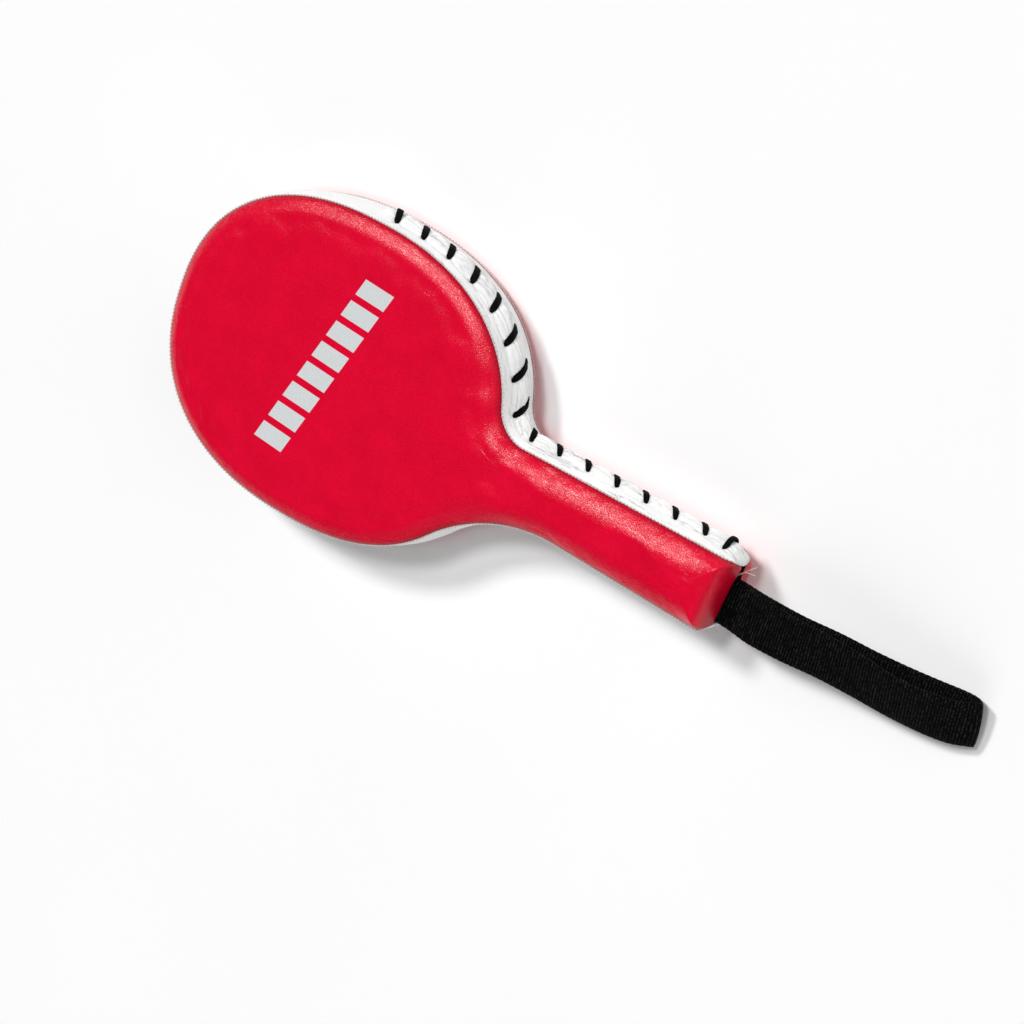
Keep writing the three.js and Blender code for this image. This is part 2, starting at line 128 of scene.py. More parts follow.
# Wrist strap; the route of its loop gives x, y, z and the webbing's roll in degrees
WEBBING = 1.6
WEBBING_WIDTH = 30
STRAP_Y = 2.6
PIVOT_X = frame["joints"][0]["pos_m"][0] / MM
STRAP_ROOT_X = PIVOT_X - 0.9
TAIL_IN_X = HANDLE_END_X + 31
RIB_PITCH = 1.9
LOOP_ROUTE = [
    (STRAP_ROOT_X, STRAP_Y, 25.55, 0), (-311, 3.2, 25.65, 1), (-321, 4.2, 25.75, 3), (-342, 3.9, 25.5, 9),
    (-366, 2.2, 24.6, 14), (-390, 2.2, 22.8, 18), (-413, 3.2, 20.2, 22), (-435, 2.2, 17.2, 21),
    (-451, -0.3, 13.8, 17), (-459.5, -3.6, 9.4, 11), (-459, -2.8, 4.9, 9), (-453.5, -1.8, 2.4, 5),
    (-444, -0.5, 1.7, 3), (-430, 1.4, 2.3, 3), (-412, 2.4, 5.4, 6), (-392, 2.2, 10.4, 9),
    (-370, 1.5, 15.9, 9), (-346, 2.6, 20.7, 6), (-321, 3, 23.2, 1.5), (STRAP_ROOT_X, STRAP_Y, 23.65, 0),
]

# How finely each stretch of half the outline is cut
END_STEPS = 12
CORNER_STEPS = 6
HANDLE_STEPS = 56
FILLET_STEPS = 24
HEAD_STEPS = 96

random = np.random.default_rng(7)


# ---------- Small mathematics ----------

def unit(vectors):
    return vectors / np.linalg.norm(vectors, axis=-1, keepdims=True)


def signed_power(value, power):
    return np.sign(value) * np.abs(value) ** power


def smoothstep(value, low, high):
    share = np.clip((value - low) / (high - low), 0, 1)
    return share * share * (3 - 2 * share)


def mix(low, high, share):
    return low + (high - low) * share


def bell(distance, width):
    return np.exp(-((distance / width) ** 2))


def catmull_rom(points, per_span):
    """A smooth line through points, with per_span samples from each point to the next."""
    points = np.asarray(points, float)
    padded = np.vstack([2 * points[0] - points[1], points, 2 * points[-1] - points[-2]])
    share = np.arange(per_span)[:, None] / per_span
    spans = []
    for a, b, c, d in zip(padded, padded[1:], padded[2:], padded[3:]):
        spans.append(0.5 * (2 * b + (c - a) * share + (2 * a - 5 * b + 4 * c - d) * share**2
                            + (3 * b - a - 3 * c + d) * share**3))
    return np.vstack([*spans, points[-1:]])


def lengths_along(line):
    """The length run so far at each point of a line."""
    return np.concatenate([[0], np.cumsum(np.linalg.norm(np.diff(line, axis=0), axis=1))])


def points_at(line, lengths, at):
    """The points of a line at some of the lengths along it."""
    return np.column_stack([np.interp(at, lengths, column) for column in line.T])


def evenly(line, step):
    """The same line resampled to even steps, with the length at each sample."""
    lengths = lengths_along(line)
    at = np.linspace(0, lengths[-1], int(round(lengths[-1] / step)) + 1)
    return points_at(line, lengths, at), at


def rough_noise(points, sizes, seed):
    """Smooth noise from -1 to 1 at each point, with one feature size for each axis."""
    scaled = points / np.asarray(sizes, float) + seed
    return np.array([noise.noise(Vector(p)) for p in scaled])


# ---------- Plan outline ----------

def head_point(angle):
    """Points of the skewed superellipse of the head, with their outward normals."""
    angle = np.atleast_1d(angle)
    c, s = np.cos(angle), np.sin(angle)
    x = HEAD_HALF_LENGTH * signed_power(c, 2 / HEAD_POWER)
    y = HEAD_HALF_WIDTH * signed_power(s, 2 / HEAD_POWER)
    slope_x = signed_power(c, 2 - 2 / HEAD_POWER) / HEAD_HALF_LENGTH
    slope_y = signed_power(s, 2 - 2 / HEAD_POWER) / HEAD_HALF_WIDTH
    normal = unit(np.column_stack([slope_x - HEAD_SKEW * slope_y, slope_y]))
    return np.column_stack([x, y + HEAD_SKEW * x]), normal


def handle_line(edge):
    neck = np.array([NECK_X, edge["side"] * edge["neck"]])
    end = np.array([HANDLE_END_X, edge["side"] * edge["end"]])
    along = unit(end - neck)
    return neck, np.array([edge["side"] * along[1], -edge["side"] * along[0]])


def neck_fillet(edge):
    """The arc that joins head and handle: its centre, and the head's angle and normal where it starts."""
    neck, side = handle_line(edge)
    near, far = math.pi / 2, math.pi * 0.999
    for _ in range(40):
        middle = (near + far) / 2
        point, normal = head_point(edge["side"] * middle)
        centre = point[0] + normal[0] * edge["fillet"]
        if (centre - neck) @ side > edge["fillet"]:
            near = middle
        else:
            far = middle
    point, normal = head_point(edge["side"] * near)
    return point[0] + normal[0] * edge["fillet"], near, normal[0]


def turned(start, end, steps):
    """Directions that turn evenly from one to the other, the short way."""
    first = math.atan2(start[1], start[0])
    sweep = (math.atan2(end[1], end[0]) - first + math.pi) % (2 * math.pi) - math.pi
    angles = first + sweep * np.linspace(0, 1, steps + 1)
    return np.column_stack([np.cos(angles), np.sin(angles)])


def straight(start, end, steps):
    share = np.arange(1, steps)[:, None] / steps
    return mix(start, end, share)


def half_outline(edge, inset):
    """Half the outline, from the middle of the handle's end almost to the head's tip."""
    neck, side = handle_line(edge)
    back = np.array([-1.0, 0.0])
    radius = max(edge["corner"] - inset, 1)
    x = HANDLE_END_X + inset + radius
    reach = neck @ side - inset - radius
    corner_normals = turned(back, side, CORNER_STEPS)
    corner = np.array([x, (reach - side[0] * x) / side[1]]) + corner_normals * radius
    centre, head_angle, head_side = neck_fillet(edge)
    fillet_normals = turned(side, head_side, FILLET_STEPS)
    fillet = centre - fillet_normals * (edge["fillet"] + inset)
    middle = np.array([HANDLE_END_X + inset, STRAP_Y])
    angles = edge["side"] * head_angle * (1 - np.arange(1, HEAD_STEPS) / HEAD_STEPS)
    head, head_normals = head_point(angles)
    points = [middle[None], straight(middle, corner[0], END_STEPS), corner,
              straight(corner[-1], fillet[0], HANDLE_STEPS), fillet, head - head_normals * inset]
    normals = [np.tile(back, (END_STEPS, 1)), corner_normals,
               np.tile(side, (HANDLE_STEPS - 1, 1)), fillet_normals, head_normals]
    return np.vstack(points), np.vstack(normals)


def outline(inset=0.0):
    """The closed outline and its normals, moved in by inset: from the handle's end past the laced edge."""
    tip, tip_normal = head_point(0.0)
    laced, laced_normals = half_outline(LACED, inset)
    plain, plain_normals = half_outline(PLAIN, inset)
    points = np.vstack([laced, tip - tip_normal * inset, plain[:0:-1]])
    return points, np.vstack([laced_normals, tip_normal, plain_normals[:0:-1]])


def near_end(x, reach):
    """1 at the handle's end, falling to 0 at this reach from it."""
    return 1 - smoothstep(x, HANDLE_END_X, HANDLE_END_X + reach)


def slant_end(points):
    """Leans the handle's end in towards the head on the plain side and draws up its lower laced corner."""
    moved = points.copy()
    at_corner = near_end(points[..., 0], CORNER_REACH) * (1 - smoothstep(points[..., 1], *CORNER_Y))
    moved[..., 2] += CORNER_SHARE * at_corner * np.maximum(0, MIDDLE_Z - points[..., 2])
    share = np.maximum(0, (SLANT_START_X - points[..., 0]) / (SLANT_START_X - HANDLE_END_X))
    moved[..., 0] += END_SLANT * (points[..., 1] + LACED["end"]) * share
    return moved


# ---------- Heights ----------

def head_share(x):
    """0 on the handle and 1 on the head."""
    return smoothstep(x, *HEAD_BLEND)


def end_share(x):
    """Falls from 1 to 0 in a rounded step at the handle's end."""
    run = np.clip((HANDLE_END_X + END_ROUND - x) / END_ROUND, 0, 1)
    return (1 - run**END_POWER) ** (1 / END_POWER)


def seam_height(x):
    body = mix(SEAM_HANDLE, SEAM_HEAD, head_share(x))
    return LIP_GAP + (body - LIP_GAP) * end_share(x)


def face_height(x, inset):
    """Height of a padded face over the middle plane, from the seam to its flat middle."""
    shoulder = mix(mix(SHOULDER, HEAD_SHOULDER, head_share(x)), END_SHOULDER, near_end(x, END_BLEND))
    share = np.clip(inset / shoulder, 0, 1)
    rise = np.sin(share * math.pi / 2) ** SHOULDER_POWER
    return seam_height(x) + mix(CROWN_HANDLE, CROWN_HEAD, head_share(x)) * end_share(x) * rise


# ---------- Meshes ----------

def ring_faces(rings, sides):
    """Quads between closed rings of vertices that are stored one after the other."""
    i, j = np.meshgrid(np.arange(rings - 1), np.arange(sides), indexing="ij")
    a = i * sides + j
    b = i * sides + (j + 1) % sides
    return np.stack([a, b, b + sides, a + sides], axis=-1).reshape(-1, 4)


def add_object(name, data):
    item = bpy.data.objects.new(name, data)
    bpy.context.scene.collection.objects.link(item)
    return item


def new_mesh(name, points, faces, material, uv, flip=False):
    """A smooth-shaded object from millimetre points; uv holds two numbers for each vertex."""
    faces = [list(f)[::-1] if flip else list(f) for f in faces]
    mesh = bpy.data.meshes.new(name)
    mesh.from_pydata((points * MM).tolist(), [], faces)
    corners = np.empty(len(mesh.loops), int)
    mesh.loops.foreach_get("vertex_index", corners)
    mesh.uv_layers.new(name="UVMap").data.foreach_set("uv", uv[corners].ravel())
    mesh.polygons.foreach_set("use_smooth", np.ones(len(mesh.polygons), bool))
    mesh.update()
    mesh.materials.append(material)
    return add_object(name, mesh)


def subdivide(piece):
    """One level of subdivision, applied."""
    modifier = piece.modifiers.new("smooth", "SUBSURF")
    modifier.levels = modifier.render_levels = 1
    depsgraph = bpy.context.evaluated_depsgraph_get()
    depsgraph.update()
    mesh = bpy.data.meshes.new_from_object(piece.evaluated_get(depsgraph))
    piece.modifiers.clear()
    piece.data = mesh


def as_uv(along, across):
    """Two numbers for each vertex of a grid, out of arrays that may repeat over its rows or columns."""
    return np.stack(np.broadcast_arrays(along, across), axis=-1).reshape(-1, 2)


def tube_faces(rings, sides):
    """Quads of a closed tube, with its two ends as polygons."""
    faces = ring_faces(rings, sides).tolist()
    faces.append(list(range(sides))[::-1])
    faces.append([(rings - 1) * sides + k for k in range(sides)])
    return faces


def new_tube(name, rings, material, uv):
    return new_mesh(name, rings.reshape(-1, 3), tube_faces(*rings.shape[:2]), material, uv)


# ---------- Materials ----------

RED = (0.86, 0.0003, 0.038, 1)
DEEP_RED = (0.76, 0.0002, 0.030, 1)
MOTTLED_RED = (0.6, 0.0, 0.018, 1)
CREASE_SHADE_RED = (0.5, 0.0003, 0.01, 1)
SEAM_SHADE_RED = (0.14, 0.0, 0.004, 1)
PRINT_GREY = (0.66, 0.68, 0.69, 1)
WHITE = (0.94, 0.94, 0.935, 1)
DULL_WHITE = (0.88, 0.88, 0.875, 1)
WRINKLE_SHADE_GREY = (0.5, 0.5, 0.51, 1)
THREAD_WHITE = (0.72, 0.66, 0.64, 1)
THREAD_SHADE = (0.468, 0.429, 0.416, 1)

# The plain prints on the front and rear of the head, in metres
PRINT_CENTRE = (0.0012, -0.0021, 0.0)
PRINT_TURN = -1.257
PRINT_LENGTH = 0.138
PRINT_HALF = 0.011
PRINT_BARS = 8
BAR_HALF = 0.0062
BAR_LEAN = 0.28
TARGET_CENTRE = (0.0, 0.0, 0.0)
TARGET_DOT = 0.009
TARGET_RING = 0.026
TARGET_LINE = 0.0035
PRINT_BLUR = 0.0002


def grey(level):
    return (level, level, level, 1)


def node_material(name):
    """A new material, its node tree and its Principled shader."""
    material = bpy.data.materials.new(name)
    material.use_nodes = True
    return material, material.node_tree, material.node_tree.nodes["Principled BSDF"]


def add_node(tree, kind, settings=None, inputs=None):
    """A node with its settings, and a value or another node's output at each of the inputs given."""
    item = tree.nodes.new(kind)
    for key, value in (settings or {}).items():
        setattr(item, key, value)
    for key, value in (inputs or {}).items():
        if isinstance(value, bpy.types.NodeSocket):
            tree.links.new(value, item.inputs[key])
        else:
            item.inputs[key].default_value = value
    return item


def connect(tree, shader, colour, roughness, normal=None):
    """Gives a shader its colour and roughness, and its bumped normal where there is one."""
    for key, socket in {"Base Color": colour, "Roughness": roughness, "Normal": normal}.items():
        if socket is not None:
            tree.links.new(socket, shader.inputs[key])


def maths(tree, operation, first, second=0.0, third=0.0):
    inputs = {0: first, 1: second, 2: third}
    return add_node(tree, "ShaderNodeMath", {"operation": operation}, inputs).outputs[0]


def vector_maths(tree, operation, first, second):
    return add_node(tree, "ShaderNodeVectorMath", {"operation": operation}, {0: first, 1: second})


def colour_mix(tree, share, first, second):
    inputs = {0: share, 6: first, 7: second}
    return add_node(tree, "ShaderNodeMix", {"data_type": "RGBA"}, inputs).outputs[2]


def ramp(tree, value, low, high, out_low=0.0, out_high=1.0):
    """A value stretched from one range to another, and held inside it."""
    inputs = {0: value, 1: low, 2: high, 3: out_low, 4: out_high}
    return add_node(tree, "ShaderNodeMapRange", {"clamp": True}, inputs).outputs[0]


def place(tree):
    """The point's place in its object, in metres."""
    return add_node(tree, "ShaderNodeTexCoord").outputs["Object"]


def uv_axes(tree):
    """The mesh's own lengthwise and crosswise millimetres."""
    coordinates = add_node(tree, "ShaderNodeUVMap", {"uv_map": "UVMap"}).outputs[0]
    axes = add_node(tree, "ShaderNodeSeparateXYZ", None, {0: coordinates})
    return axes.outputs[0], axes.outputs[1]


def waves(tree, value, pitch):
    """Ridges from 0 to 1, one for each pitch."""
    return maths(tree, "ABSOLUTE", maths(tree, "SINE", maths(tree, "MULTIPLY", value, math.pi / pitch)))


def noise_value(tree, vector, scale, detail=2.0, roughness=0.5):
    inputs = {"Vector": vector, "Scale": scale, "Detail": detail, "Roughness": roughness}
    return add_node(tree, "ShaderNodeTexNoise", None, inputs).outputs[0]


def cells(tree, vector, scale, feature="F1"):
    inputs = {"Vector": vector, "Scale": scale}
    return add_node(tree, "ShaderNodeTexVoronoi", {"feature": feature}, inputs).outputs["Distance"]


def bump(tree, height, distance, below=None):
    """A normal for a height from 0 to 1 that stands for this distance, over the normal below it if given."""
    inputs = {"Height": height, "Distance": distance}
    if below is not None:
        inputs["Normal"] = below
    return add_node(tree, "ShaderNodeBump", None, inputs).outputs[0]


def leather_grain(tree, vector, cell, depth):
    """A pebbled leather surface: rounded cells with fine creases between them and pores on top."""
    warp = add_node(tree, "ShaderNodeTexNoise", None, {"Vector": vector, "Scale": 420.0, "Detail": 2.0})
    bend = add_node(tree, "ShaderNodeVectorMath", {"operation": "SCALE"}, {0: warp.outputs[1], 3: cell * 0.7})
    bent = vector_maths(tree, "ADD", vector, bend.outputs[0]).outputs[0]
    pebbles = ramp(tree, cells(tree, bent, 1 / cell, "DISTANCE_TO_EDGE"), 0.0, 0.22)
    height = maths(tree, "MULTIPLY_ADD", noise_value(tree, vector, 2600.0, 3.0), 0.25, pebbles)
    return pebbles, bump(tree, height, depth)


def seam_shadow(tree):
    """Painted shade on the red leather by its seam: along the turn, in the tuck and in the needle holes."""
    along, inset = uv_axes(tree)
    phase = maths(tree, "SUBTRACT", along, SEAM_START - (SEAM_PITCH - SEAM_STITCH) / 2)
    holes = ramp(tree, waves(tree, phase, SEAM_PITCH), 0.25, 0.65, 1, 0)
    by_seam = ramp(tree, inset, 0.5, 1.5, 0.9, 0)
    tuck_shade = maths(tree, "MULTIPLY", by_seam, maths(tree, "MULTIPLY_ADD", holes, 0.6, 0.4))
    return maths(tree, "MAXIMUM", tuck_shade, ramp(tree, inset, 1.0, 3.2, 0.4, 0))


def lengthwise_wrinkles(tree, laced_length):
    """Thin wrinkles along a strip of leather, deeper in some stretches and almost none past the lacing."""
    along, across = uv_axes(tree)
    inputs = {0: maths(tree, "MULTIPLY", along, 0.022), 1: maths(tree, "MULTIPLY", across, 0.3)}
    stretched = add_node(tree, "ShaderNodeCombineXYZ", None, inputs).outputs[0]
    fold = maths(tree, "ABSOLUTE", maths(tree, "SUBTRACT", noise_value(tree, stretched, 1.0, 4.0, 0.6), 0.5))
    stretch = ramp(tree, noise_value(tree, stretched, 0.6, 1.0), 0.4, 0.6, 0.15, 1.0)
    pulled = ramp(tree, along, laced_length, laced_length + 18, 1.0, 0.06)
    sharp = ramp(tree, fold, 0.0, 0.022, 1.0, 0.0)
    return maths(tree, "MULTIPLY", sharp, maths(tree, "MULTIPLY", stretch, pulled))


def within(tree, value, limit):
    """A mask of the values up to a limit."""
    return ramp(tree, value, limit, limit + PRINT_BLUR, 1, 0)


def print_bars(tree, vector):
    """A mask for a plain graphic: eight slanted bars in a row across the front of the head."""
    turn = add_node(tree, "ShaderNodeVectorRotate", {"rotation_type": "Z_AXIS"},
                    {"Vector": vector, "Center": PRINT_CENTRE, "Angle": PRINT_TURN})
    apart = vector_maths(tree, "SUBTRACT", turn.outputs[0], PRINT_CENTRE)
    axes = add_node(tree, "ShaderNodeSeparateXYZ", None, {0: apart.outputs[0]})
    along, across = axes.outputs[0], axes.outputs[1]
    leaning = maths(tree, "MULTIPLY_ADD", across, BAR_LEAN, along)
    half_step = PRINT_LENGTH / PRINT_BARS / 2
    bar_edge = half_step - BAR_HALF
    wave = maths(tree, "PINGPONG", leaning, half_step)
    bars = ramp(tree, wave, bar_edge - PRINT_BLUR / 2, bar_edge + PRINT_BLUR / 2)
    inside_length = within(tree, maths(tree, "ABSOLUTE", leaning), PRINT_LENGTH / 2)
    inside_height = within(tree, maths(tree, "ABSOLUTE", across), PRINT_HALF)
    return maths(tree, "MULTIPLY", maths(tree, "MULTIPLY", bars, inside_length), inside_height)


def print_target(tree, vector):
    """A mask for a plain graphic: a ring round a dot on the rear of the head."""
    flat = vector_maths(tree, "MULTIPLY", vector, (1, 1, 0))
    distance = vector_maths(tree, "DISTANCE", flat.outputs[0], TARGET_CENTRE).outputs[1]
    from_ring = maths(tree, "ABSOLUTE", maths(tree, "SUBTRACT", distance, TARGET_RING))
    return maths(tree, "MAXIMUM", within(tree, distance, TARGET_DOT), within(tree, from_ring, TARGET_LINE))


def red_leather(name, print_mask):
    """Semi-gloss red leather with a fine pebble grain, painted shade in its creases and by its seam, and a
    light-grey print.
    """
    material, tree, shader = node_material(name)
    vector = place(tree)
    pebbles, normal = leather_grain(tree, vector, 0.0012, 0.000055)
    patches = noise_value(tree, vector, 38.0, 4.0, 0.6)
    mottle = noise_value(tree, vector, 650.0, 4.0, 0.7)
    colour = colour_mix(tree, ramp(tree, patches, 0.35, 0.65), DEEP_RED, RED)
    colour = colour_mix(tree, ramp(tree, mottle, 0.35, 0.6, 0.0, 0.35), colour, MOTTLED_RED)
    # Painted shade: the creases between the grain's pebbles are darkened
    colour = colour_mix(tree, ramp(tree, pebbles, 0.0, 1.0, 0.3, 0.0), colour, CREASE_SHADE_RED)
    # Painted shade by the seam: the turn, the tuck and the needle holes are darkened
    colour = colour_mix(tree, seam_shadow(tree), colour, SEAM_SHADE_RED)
    mask = print_mask(tree, vector)
    wear = ramp(tree, noise_value(tree, vector, 900.0, 3.0), 0.1, 0.3, 0.8, 1.0)
    colour = colour_mix(tree, maths(tree, "MULTIPLY", mask, wear), colour, PRINT_GREY)
    gloss = maths(tree, "MULTIPLY_ADD", noise_value(tree, vector, 120.0, 3.0), 0.12, 0.2)
    connect(tree, shader, colour, maths(tree, "MULTIPLY_ADD", mask, 0.08, gloss), normal)
    shader.inputs["Specular IOR Level"].default_value = 0.36
    return material


def white_leather(name, laced_length):
    """Semi-matt white leather with a faint grain, painted shade in its creases and in the wrinkles of its
    laced stretch.
    """
    material, tree, shader = node_material(name)
    vector = place(tree)
    pebbles, normal = leather_grain(tree, vector, 0.0008, 0.00005)
    patches = noise_value(tree, vector, 60.0, 3.0)
    wrinkles = lengthwise_wrinkles(tree, laced_length)
    colour = colour_mix(tree, ramp(tree, patches, 0.3, 0.7), DULL_WHITE, WHITE)
    # Painted shade: the creases between the grain's pebbles are greyed
    colour = colour_mix(tree, ramp(tree, pebbles, 0.0, 1.0, 0.12, 0.0), colour, grey(0.65))
    # Painted shade in the wrinkles: they are greyed as well as bumped
    colour = colour_mix(tree, maths(tree, "MULTIPLY", wrinkles, 0.34), colour, WRINKLE_SHADE_GREY)
    normal = bump(tree, maths(tree, "SUBTRACT", 1.0, wrinkles), 0.0003, normal)
    connect(tree, shader, colour, maths(tree, "MULTIPLY_ADD", patches, 0.16, 0.36), normal)
    return material


def woven(name, dark, light, pitch, depth, slanted):
    """Cloth of fine yarns: straight ribs for webbing, or slanted ones meeting in a braid for a lace; painted
    highlights on raised yarns.
    """
    material, tree, shader = node_material(name)
    along, across = uv_axes(tree)
    if slanted:
        folded = maths(tree, "ABSOLUTE", across)
        ribs = waves(tree, maths(tree, "ADD", along, maths(tree, "MULTIPLY", folded, 1.1)), pitch)
        yarns = waves(tree, folded, pitch * 0.9)
    else:
        ribs = waves(tree, along, pitch)
        yarns = waves(tree, across, pitch * 0.55)
    fuzz = noise_value(tree, place(tree), 1500.0, 4.0, 0.7)
    height = maths(tree, "MULTIPLY_ADD", fuzz, 0.5, maths(tree, "MULTIPLY_ADD", yarns, 0.45, ribs))
    # Painted highlight: the raised yarns are lightened in patches, as if they caught the light
    specks = ramp(tree, noise_value(tree, place(tree), 700.0, 3.0, 0.65), 0.47, 0.62, 0.05, 1.0)
    rib_highlight = maths(tree, "MULTIPLY", ramp(tree, height, 0.9, 1.7), specks)
    roughness = ramp(tree, fuzz, 0.2, 0.8, 0.55, 0.8)
    connect(tree, shader, colour_mix(tree, rib_highlight, dark, light), roughness, bump(tree, height, depth))
    shader.inputs["Specular IOR Level"].default_value = 0.05
    shader.inputs["Sheen Weight"].default_value = 0.005
    return material


def two_tone(name, pattern, dark, light, spread, rough, depth):
    """A finish whose colour, roughness and relief follow one pattern, a function that adds it to a tree."""
    material, tree, shader = node_material(name)
    value = pattern(tree)
    colour = colour_mix(tree, ramp(tree, value, *spread), dark, light)
    connect(tree, shader, colour, ramp(tree, value, *rough), bump(tree, value, depth))
    return material


def twist(tree):
    """The turns of a sewing thread."""
    along, across = uv_axes(tree)
    return waves(tree, maths(tree, "MULTIPLY_ADD", across, 0.8, along), 0.5)


def wood_rings(tree):
    """Wood grain along the paddle."""
    stretched = add_node(tree, "ShaderNodeMapping", None, {0: place(tree), 3: (6, 90, 60)}).outputs[0]
    return noise_value(tree, stretched, 4.0, 6.0, 0.65)


# A plain weave: high on the yarns and low between them, where the placket cloth is painted darker as shade
def plain_weave(tree):
    axes = add_node(tree, "ShaderNodeSeparateXYZ", None, {0: place(tree)})
    return maths(tree, "MULTIPLY", *[waves(tree, axes.outputs[k], 0.0007) for k in (0, 2)])


def foam(name, dark, light, cell):
    """Cut foam with open pores, each darkened with painted shade."""
    return two_tone(name, lambda tree: cells(tree, place(tree), 1 / cell), dark, light,
                    (0.1, 0.6), (0.0, 0.8, 0.95, 0.8), cell * 0.3)


def floor_material():
    material, tree, shader = node_material("pale_floor")
    tone = noise_value(tree, place(tree), 3.0, 2.0)
    connect(tree, shader, colour_mix(tree, tone, grey(0.95), grey(0.98)), ramp(tree, tone, 0, 1, 0.7, 0.8))
    return material


# ---------- Camera, lights and floor ----------

CAMERA_PLACE = Vector((-1.0582, -0.6782, 1.6785))
CAMERA_RIGHT = Vector((-0.761, -0.327, -0.560))
CAMERA_BACK = Vector((-0.453, -0.349, 0.820))
CAMERA_LENS = 117.6


def make_camera():
    data = bpy.data.cameras.new("camera")
    data.lens = CAMERA_LENS
    camera = add_object("camera", data)
    back = CAMERA_BACK.normalized()
    up = back.cross(CAMERA_RIGHT).normalized()
    turn = Matrix((up.cross(back), up, back)).transposed().to_4x4()
    camera.matrix_world = Matrix.Translation(CAMERA_PLACE) @ turn
    bpy.context.scene.camera = camera


def soft_light(name, towards, spread, strength, glints=True):
    """A distant softbox in one direction, spread over an angle in degrees, with or without reflections."""
    data = bpy.data.lights.new(name, "SUN")
    data.angle = math.radians(spread)
    data.energy = strength
    light = add_object(name, data)
    light.rotation_euler = Vector(towards).to_track_quat("Z", "Y").to_euler()
    light.visible_glossy = glints


def make_studio():
    """Two lamps that cast the shadows and the glints, two broad fills, and a pale floor under the part."""
    scene = bpy.context.scene
    scene.view_settings.view_transform = "Standard"
    world = bpy.data.worlds.new("studio")
    world.use_nodes = True
    background = world.node_tree.nodes["Background"]
    background.inputs["Color"].default_value = grey(1)
    background.inputs["Strength"].default_value = 0.06
    scene.world = world
    soft_light("key", (0.45, -0.45, 0.77), 12, 1.6)
    soft_light("second_key", (0.05, -0.42, 0.90), 12, 1.05)
    soft_light("front_fill", (-0.70, -0.55, 0.50), 70, 0.95, glints=False)
    soft_light("side_fill", (-0.30, 0.85, 0.45), 60, 0.85, glints=False)
    bpy.ops.mesh.primitive_plane_add(size=12, location=(0, 0, -0.0005))
    floor = bpy.context.object
    floor.name = "floor"
    floor.data.materials.append(floor_material())


# ---------- Seam path and stitches of the lace ----------

def edge_path():
    """The seam outline from the laced corner of the handle's end to the plain one, and its lengths."""
    points, normals = outline()
    points = points[END_STEPS:-END_STEPS + 1]
    normals = normals[END_STEPS:-END_STEPS + 1]
    return points, normals, lengths_along(points)


EDGE_POINTS, EDGE_NORMALS, EDGE_LENGTHS = edge_path()
LACED_HALF = slice(0, CORNER_STEPS + HANDLE_STEPS + FILLET_STEPS + HEAD_STEPS)
FIRST_STITCH_AT = float(np.interp(FIRST_STITCH_X, EDGE_POINTS[LACED_HALF, 0], EDGE_LENGTHS[LACED_HALF]))

# Stitches are counted from the head, and gap k lies just before stitch k
STITCH_NUMBERS = np.arange(STITCHES)
ON_HANDLE = smoothstep(STITCH_NUMBERS, 6, 8.5)
STITCH_HOLES = mix(HEAD_STITCH["hole"], HANDLE_STITCH["hole"], ON_HANDLE)
STITCH_SLANTS = mix(HEAD_STITCH["slant"], HANDLE_STITCH["slant"], ON_HANDLE)
STITCH_HOLES[-1], STITCH_SLANTS[-1] = LAST_STITCH["hole"], LAST_STITCH["slant"]
STITCH_MIDDLES = STITCH_NUMBERS * STITCH_PITCH + FRONT_HOLE_OFFSET - STITCH_SLANTS
STITCH_MIDDLES[-1] += LAST_OFFSET - FRONT_HOLE_OFFSET
STITCH_PULL = random.uniform(0.75, 1.15, STITCHES)
GAP_FULLNESS = random.uniform(0.8, 1.2, STITCHES + 1)
GAP_OPEN = random.uniform(0.0, 0.12, STITCHES + 1)
GAP_OPEN[OPEN_GAP] = 1
CREASE_ANGLES = random.uniform(-1.1, 1.1, (STITCHES, 5))


def edge_at(at):
    """Points and normals of the seam outline at these lengths."""
    return points_at(EDGE_POINTS, EDGE_LENGTHS, at), unit(points_at(EDGE_NORMALS, EDGE_LENGTHS, at))


# ---------- Padded faces ----------

SHOULDER_INSETS = [0, 0.2, 0.5, 1.0, 1.7, 2.6, 3.7, 5.0, 6.5, 8.2, 10, 12, 14, SHOULDER]
TUCK = [(0.2, -0.5), (0.9, -1.1)]
TUCK_CLEAR = 0.25
INNER_INSETS = [1.6, 4, 8, 12, SHOULDER]
INNER_CLEAR = 0.3
CLOTH = {
    "quality": 5, "mass": 0.3, "tension_stiffness": 25, "compression_stiffness": 25, "shear_stiffness": 12,
    "bending_stiffness": 2.5, "use_pressure": True, "uniform_pressure_force": 4, "shrink_min": -0.004,
    "vertex_group_mass": "held",
}
CLOTH_FRAMES = 20
CLOTH_SHARE = 0.7
CLOTH_LIMITS = ((-0.8, -0.8, -0.4), (0.8, 0.8, 1.2))


def patch(ring):
    """A grid that fills a closed ring, and each of its points' place on the ring or -1 inside it."""
    count = len(ring)
    half = count // 2
    turn = END_STEPS + CORNER_STEPS
    low = np.arange(turn, -turn - 1, -1) % count
    high = np.arange(half - turn, half + turn + 1)
    left = np.arange(turn, half - turn + 1)
    right = (count - left) % count
    places = np.full((len(left), len(low)), -1)
    places[0], places[-1], places[:, 0], places[:, -1] = low, high, left, right
    low, high, left, right = ring[low], ring[high], ring[left], ring[right]
    u = np.linspace(0, 1, len(low))[None, :, None]
    v = np.linspace(0, 1, len(left))[:, None, None]
    edges = mix(low[None], high[None], v) + mix(left[:, None], right[:, None], u)
    corners = mix(mix(low[0], low[-1], u), mix(high[0], high[-1], u), v)
    return edges - corners, places


